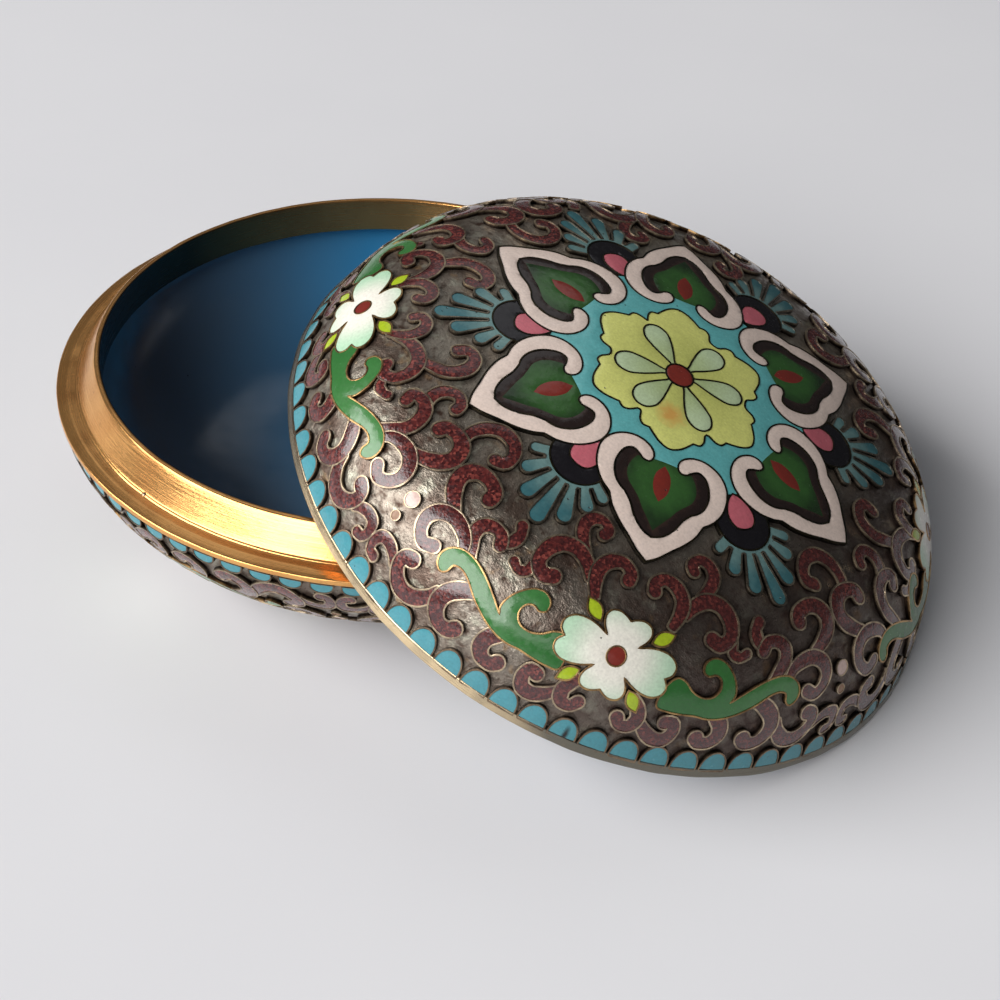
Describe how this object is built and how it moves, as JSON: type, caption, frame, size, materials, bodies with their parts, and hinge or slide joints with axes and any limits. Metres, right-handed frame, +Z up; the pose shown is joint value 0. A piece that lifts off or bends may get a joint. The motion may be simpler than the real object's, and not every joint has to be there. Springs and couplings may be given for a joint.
{
  "type": "cloisonne enamel box",
  "caption": "Low round cloisonne enamel box with a gilt collar, its domed lid lifted off and leaning on the base.",
  "frame": {"origin": "middle of the base's flat underside", "axes": "+Z up along the base's axis, the lid leans against the base on the +X and -Y side"},
  "size_m": [0.1327, 0.1211, 0.0497],
  "materials": {
    "base_enamel": "raised maroon, turquoise and green enamel in gilt wires on oxidised metal, glossy blue enamel inside",
    "collar_gilt": "turned and brushed gilt metal, worn towards copper on the ledge",
    "lid_enamel": "raised maroon, green, white, pink and turquoise enamel in gilt wires on oxidised metal, glossy blue enamel inside",
    "rim_gilt": "thin gilt edge, rubbed and darkened"
  },
  "bodies": {
    "root": {"base_bowl": "base_enamel", "base_collar": "collar_gilt", "lid_dome": "lid_enamel", "lid_rim": "rim_gilt"}
  },
  "joints": []
}
